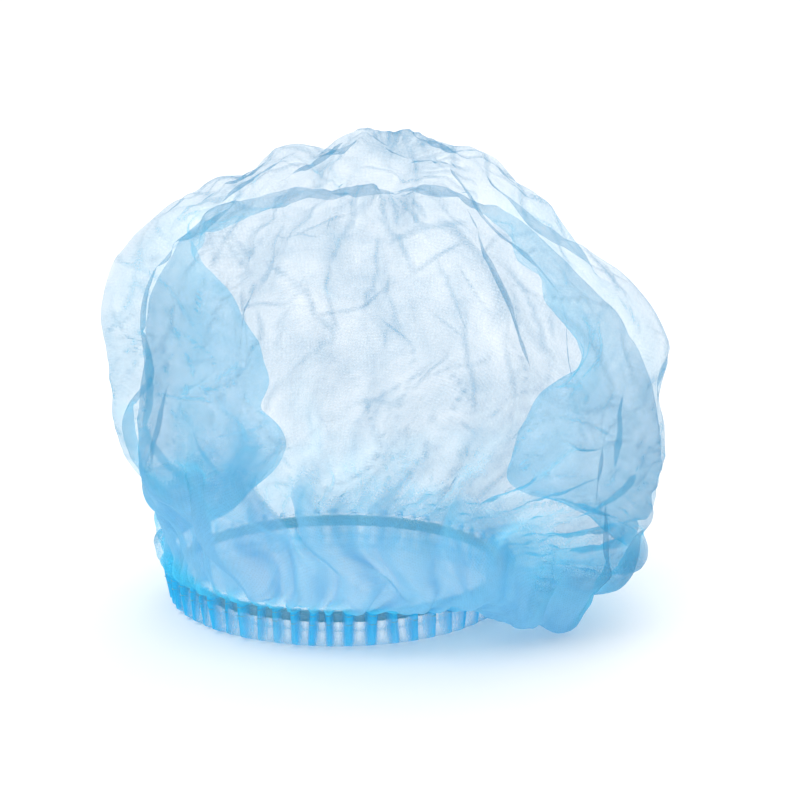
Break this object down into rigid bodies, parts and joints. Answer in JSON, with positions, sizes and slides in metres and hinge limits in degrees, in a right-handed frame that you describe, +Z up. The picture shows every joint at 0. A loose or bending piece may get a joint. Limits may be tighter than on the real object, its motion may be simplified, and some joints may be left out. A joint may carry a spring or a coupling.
{
  "type": "disposable bouffant cap",
  "caption": "Puffed disposable cap of thin see-through nonwoven cloth, gathered in a pleated hem round an inner elastic band, lying on its hem with the crown leaning to one side.",
  "frame": {"origin": "the middle of the cap's outline in plan, on the surface that the hem stands on", "axes": "+Z up, -Y the front of the cap, +X the side to which the crown leans out furthest over the hem"},
  "size_m": [0.222, 0.1896, 0.1818],
  "materials": {
    "crown_cloth": "thin light blue spunbond nonwoven, see-through, fine bond dots and crumple creases",
    "hem_cloth": "the same cloth in gathered layers, so deeper blue",
    "elastic": "matte grey-green woven elastic"
  },
  "bodies": {
    "root": {"crown": "crown_cloth", "gathered_hem": "hem_cloth", "elastic_band": "elastic"}
  },
  "joints": []
}
